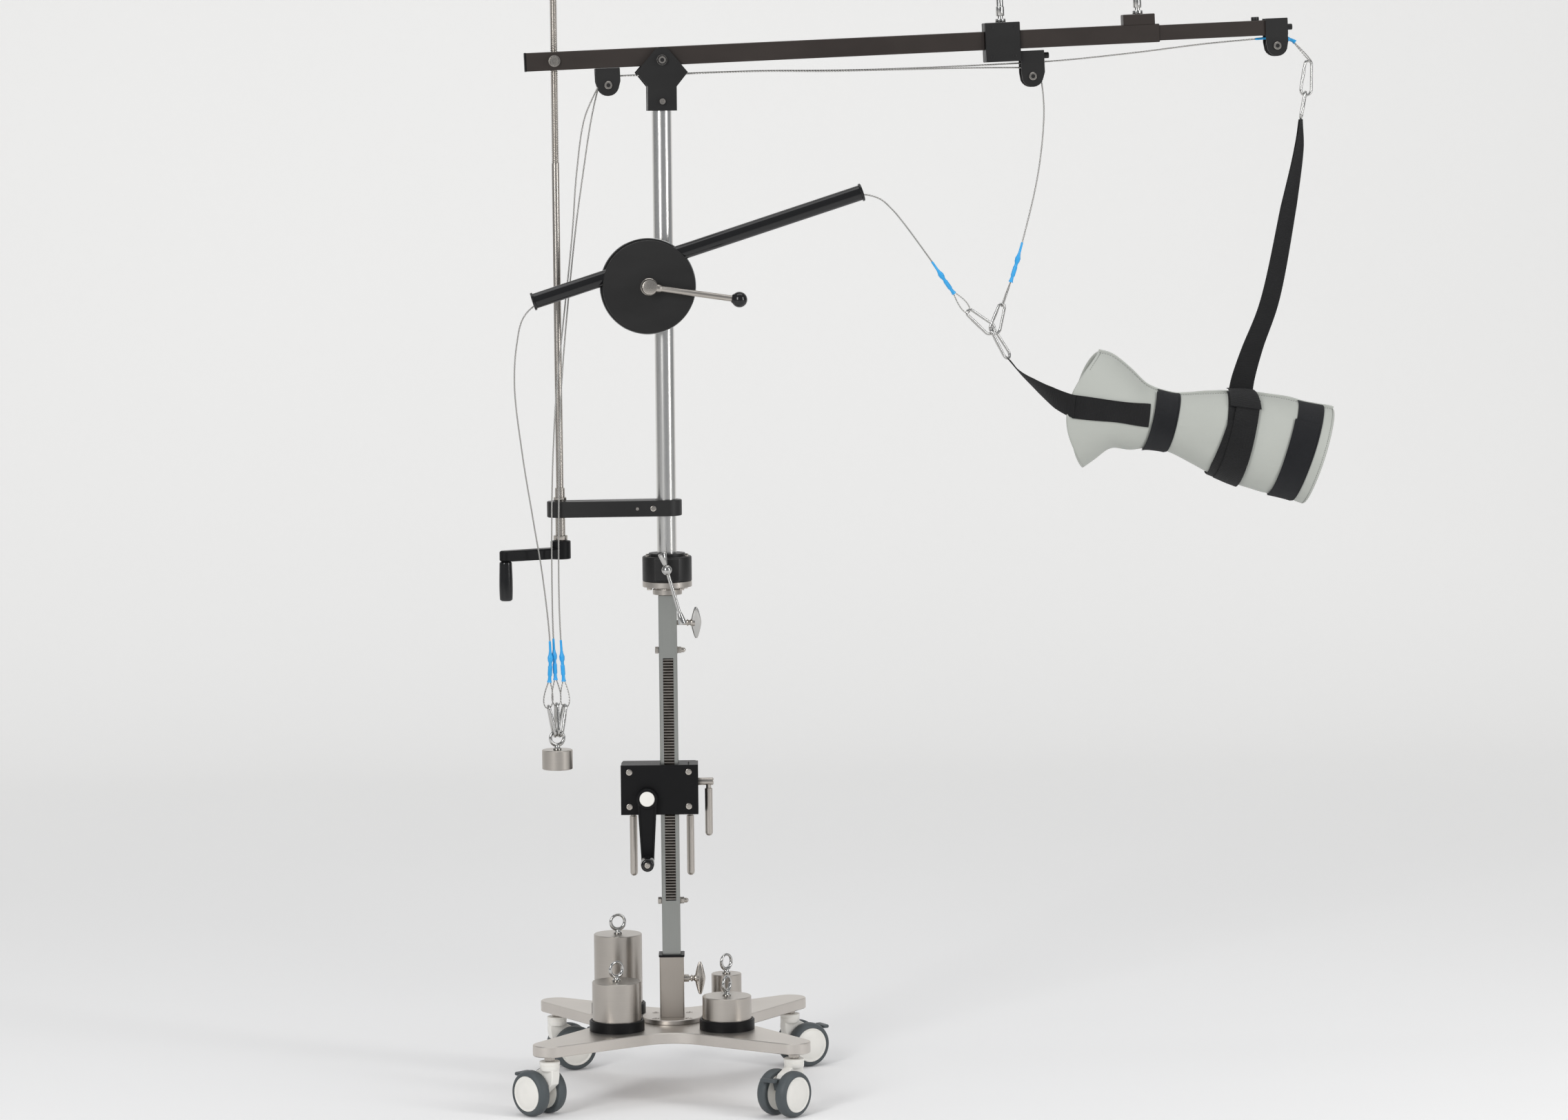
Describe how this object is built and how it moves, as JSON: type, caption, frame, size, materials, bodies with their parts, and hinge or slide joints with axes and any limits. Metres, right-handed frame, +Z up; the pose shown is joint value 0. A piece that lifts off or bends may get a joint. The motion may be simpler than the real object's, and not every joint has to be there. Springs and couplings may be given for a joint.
{
  "type": "shoulder traction frame",
  "caption": "Wheeled stand with a geared column and a swivelling mast that carries a tilting beam, pulleys, cords, weights and a padded arm cuff for shoulder traction.",
  "frame": {"origin": "middle of the base plate's underside, on the column's axis, 0.1 m above the floor under the casters", "axes": "+Z up the column, +X along the beam towards the arm cuff, +Y to the rear, away from the side with the lift crank"},
  "size_m": [1.3834, 0.5428, 1.88],
  "materials": {
    "brushed_steel": "brushed stainless steel, fine lengthwise grain",
    "polished_steel": "polished, mirror-like",
    "black_anodised": "satin black anodised",
    "black_plastic": "satin black moulded plastic",
    "white_plastic": "smooth white plastic",
    "caster_grey": "matt grey-green tyre",
    "webbing": "woven black webbing",
    "cuff_cover": "light grey smooth cover over padding"
  },
  "bodies": {
    "base": {"base_plate": "brushed_steel", "sleeve_post": "brushed_steel"},
    "weight_5": {"weight_5kg": "brushed_steel"},
    "weight_3": {"weight_3kg": "brushed_steel"},
    "weight_2": {"weight_2kg": "brushed_steel"},
    "weight_1": {"weight_1kg": "brushed_steel"},
    "base_screw": {"base_wing_screw": "brushed_steel"},
    "column": {"column_tube": "brushed_steel", "rack": "brushed_steel", "head_flange": "brushed_steel", "head_hub": "black_anodised"},
    "head_screw": {"head_wing_screw": "brushed_steel"},
    "lift": {"lift_box": "black_plastic"},
    "crank": {"lift_crank": "black_plastic"},
    "crank_grip": {"lift_crank_grip": "black_plastic"},
    "rail_clamp_left": {"rail_lever_left": "brushed_steel"},
    "rail_clamp_right": {"rail_lever_right": "brushed_steel"},
    "column_lock": {"column_lock_lever": "brushed_steel"},
    "swivel_clamp": {"clamp_screw": "polished_steel"},
    "sliding_bar": {"tommy_bar": "polished_steel"},
    "mast": {"mast_pole": "brushed_steel", "clamp_arm": "black_anodised", "head_bracket": "black_anodised", "disc_mount": "black_anodised", "guide_tube": "black_anodised", "cord_a": "brushed_steel"},
    "load": {"hanging_weight": "brushed_steel", "snap_rings_left": "polished_steel"},
    "disc_clamp": {"clamp_disc": "black_plastic"},
    "screw": {"tilt_screw": "brushed_steel", "tilt_crank": "black_plastic"},
    "screw_grip": {"tilt_crank_grip": "black_plastic"},
    "nut": {"trunnion_nut": "brushed_steel"},
    "beam": {"beam_tube": "black_anodised", "joint_box": "black_anodised", "outer_beam": "black_anodised", "left_bracket": "black_anodised", "mid_bracket": "black_anodised", "cord_b": "brushed_steel", "cord_c": "brushed_steel", "long_strap": "webbing", "arm_cuff": "cuff_cover", "snap_rings_right": "polished_steel", "short_strap": "webbing"},
    "beam_end": {"inner_beam": "black_anodised", "end_bracket": "black_anodised", "snap_ring_end": "polished_steel"},
    "pulley_left": {"sheave_left": "black_plastic"},
    "pulley_mid": {"sheave_mid": "black_plastic"},
    "pulley_end": {"sheave_end": "black_plastic"},
    "joint_lock": {"lock_handle_joint": "polished_steel"},
    "tube_lock": {"lock_handle_tube": "polished_steel"},
    "caster_fl": {"caster_fork_fl": "white_plastic"},
    "wheels_fl": {"caster_wheels_fl": "caster_grey"},
    "caster_fr": {"caster_fork_fr": "white_plastic"},
    "wheels_fr": {"caster_wheels_fr": "caster_grey"},
    "caster_rl": {"caster_fork_rl": "white_plastic"},
    "wheels_rl": {"caster_wheels_rl": "caster_grey"},
    "caster_rr": {"caster_fork_rr": "white_plastic"},
    "wheels_rr": {"caster_wheels_rr": "caster_grey"}
  },
  "joints": [
    {"name": "weight_5_lift", "type": "slide", "parent": "base", "child": "weight_5", "axis": [0, 0, 1], "range_m": [0, 0.02]},
    {"name": "weight_3_lift", "type": "slide", "parent": "base", "child": "weight_3", "axis": [0, 0, 1], "range_m": [0, 0.02]},
    {"name": "weight_2_lift", "type": "slide", "parent": "base", "child": "weight_2", "axis": [0, 0, 1], "range_m": [0, 0.02]},
    {"name": "weight_1_lift", "type": "slide", "parent": "base", "child": "weight_1", "axis": [0, 0, 1], "range_m": [0, 0.02]},
    {"name": "caster_fl_swivel", "type": "hinge", "parent": "base", "child": "caster_fl", "pos_m": [-0.21149, -0.19002, -0.008], "axis": [0, 0, 1], "continuous": true},
    {"name": "wheels_fl_roll", "type": "hinge", "parent": "caster_fl", "child": "wheels_fl", "pos_m": [-0.22782, -0.1711, -0.0625], "axis": [-0.757, -0.6534, 0], "continuous": true},
    {"name": "caster_fr_swivel", "type": "hinge", "parent": "base", "child": "caster_fr", "pos_m": [0.18146, -0.21888, -0.008], "axis": [0, 0, 1], "continuous": true},
    {"name": "wheels_fr_roll", "type": "hinge", "parent": "caster_fr", "child": "wheels_fr", "pos_m": [0.16372, -0.23649, -0.0625], "axis": [0.7046, -0.7096, 0], "continuous": true},
    {"name": "caster_rl_swivel", "type": "hinge", "parent": "base", "child": "caster_rl", "pos_m": [-0.18146, 0.21888, -0.008], "axis": [0, 0, 1], "continuous": true},
    {"name": "wheels_rl_roll", "type": "hinge", "parent": "caster_rl", "child": "wheels_rl", "pos_m": [-0.1574, 0.22568, -0.0625], "axis": [-0.2723, 0.9622, 0], "continuous": true},
    {"name": "caster_rr_swivel", "type": "hinge", "parent": "base", "child": "caster_rr", "pos_m": [0.21149, 0.19002, -0.008], "axis": [0, 0, 1], "continuous": true},
    {"name": "wheels_rr_roll", "type": "hinge", "parent": "caster_rr", "child": "wheels_rr", "pos_m": [0.23399, 0.2009, -0.0625], "axis": [-0.4352, 0.9003, 0], "continuous": true},
    {"name": "base_screw_turn", "type": "hinge", "parent": "base", "child": "base_screw", "pos_m": [0.02992, -0.0022, 0.088], "axis": [0.9973, -0.0732, 0], "range_deg": [-180, 360]},
    {"name": "column_raise", "type": "slide", "parent": "base", "child": "column", "axis": [0, 0, 1], "range_m": [0, 0.06]},
    {"name": "head_screw_turn", "type": "hinge", "parent": "column", "child": "head_screw", "pos_m": [0.02992, -0.0022, 0.678], "axis": [0.9973, -0.0732, 0], "range_deg": [-180, 360]},
    {"name": "lift_travel", "type": "slide", "parent": "column", "child": "lift", "axis": [0, 0, 1], "range_m": [-0.045, 0.11]},
    {"name": "crank_turn", "type": "hinge", "parent": "lift", "child": "crank", "pos_m": [-0.03861, -0.02053, 0.392], "axis": [-0.0732, -0.9973, 0], "range_deg": [-250, 605]},
    {"name": "crank_grip_spin", "type": "hinge", "parent": "crank", "child": "crank_grip", "pos_m": [-0.03984, -0.03728, 0.29], "axis": [-0.0732, -0.9973, 0], "continuous": true},
    {"name": "rail_clamp_left_turn", "type": "hinge", "parent": "lift", "child": "rail_clamp_left", "pos_m": [-0.05747, 0.05034, 0.3717], "axis": [0, 0, 1], "range_deg": [-180, 180]},
    {"name": "rail_clamp_right_turn", "type": "hinge", "parent": "lift", "child": "rail_clamp_right", "pos_m": [0.03638, 0.04345, 0.3717], "axis": [0, 0, 1], "range_deg": [-180, 180]},
    {"name": "column_lock_turn", "type": "hinge", "parent": "lift", "child": "column_lock", "pos_m": [0.04477, 0.00473, 0.414], "axis": [0.9973, -0.0732, 0], "range_deg": [-60, 60]},
    {"name": "swivel_clamp_turn", "type": "hinge", "parent": "column", "child": "swivel_clamp", "pos_m": [-0.0048, -0.06532, 0.7707], "axis": [-0.0732, -0.9973, 0], "range_deg": [-90, 90]},
    {"name": "sliding_bar_slide", "type": "slide", "parent": "swivel_clamp", "child": "sliding_bar", "axis": [-0.2715, 0.0199, 0.9622], "range_m": [0, 0.055]},
    {"name": "mast_swivel", "type": "hinge", "parent": "column", "child": "mast", "pos_m": [0, 0, 0.77], "axis": [0, 0, 1], "continuous": true},
    {"name": "load_rise", "type": "slide", "parent": "mast", "child": "load", "axis": [0, 0, 1], "range_m": [0, 0.1], "deforming": ["cord_a", "cord_b", "cord_c"]},
    {"name": "disc_clamp_turn", "type": "hinge", "parent": "mast", "child": "disc_clamp", "pos_m": [-0.029, -0.0845, 1.232], "axis": [0, -1, 0], "range_deg": [-90, 90]},
    {"name": "screw_turn", "type": "hinge", "parent": "mast", "child": "screw", "pos_m": [-0.174, 0, 0.8], "axis": [0, 0, 1], "continuous": true},
    {"name": "screw_grip_spin", "type": "hinge", "parent": "screw", "child": "screw_grip", "pos_m": [-0.26568, -0.04471, 0.7872], "axis": [0, 0, -1], "continuous": true},
    {"name": "beam_tilt", "type": "hinge", "parent": "mast", "child": "beam", "pos_m": [0, 0, 1.597], "axis": [0, -1, 0], "range_deg": [-10, 10], "deforming": ["cord_a", "cord_b", "cord_c"]},
    {"name": "nut_travel", "type": "slide", "parent": "mast", "child": "nut", "axis": [0, 0, 1], "range_m": [-0.034, 0.034]},
    {"name": "beam_extend", "type": "slide", "parent": "beam", "child": "beam_end", "axis": [0.9993, 0, 0.0373], "range_m": [-0.1, 0.05], "deforming": ["cord_c", "long_strap"]},
    {"name": "pulley_left_spin", "type": "hinge", "parent": "beam", "child": "pulley_left", "pos_m": [-0.08697, 0, 1.55703], "axis": [0, 1, 0], "continuous": true},
    {"name": "pulley_mid_spin", "type": "hinge", "parent": "beam", "child": "pulley_mid", "pos_m": [0.60702, 0, 1.56505], "axis": [0, 1, 0], "continuous": true},
    {"name": "pulley_end_spin", "type": "hinge", "parent": "beam_end", "child": "pulley_end", "pos_m": [1.01128, 0, 1.61107], "axis": [0, 1, 0], "continuous": true},
    {"name": "joint_lock_turn", "type": "hinge", "parent": "beam", "child": "joint_lock", "pos_m": [0.55645, 0, 1.65292], "axis": [-0.0373, 0, 0.9993], "range_deg": [-180, 360]},
    {"name": "tube_lock_turn", "type": "hinge", "parent": "beam", "child": "tube_lock", "pos_m": [0.78252, 0, 1.66457], "axis": [-0.0373, 0, 0.9993], "range_deg": [-180, 360]}
  ],
  "couplings": [
    {"joint": "crank_turn", "follows": "lift_travel", "rad_per_m": 95.238},
    {"joint": "nut_travel", "follows": "beam_tilt", "m_per_rad": -0.174}
  ]
}
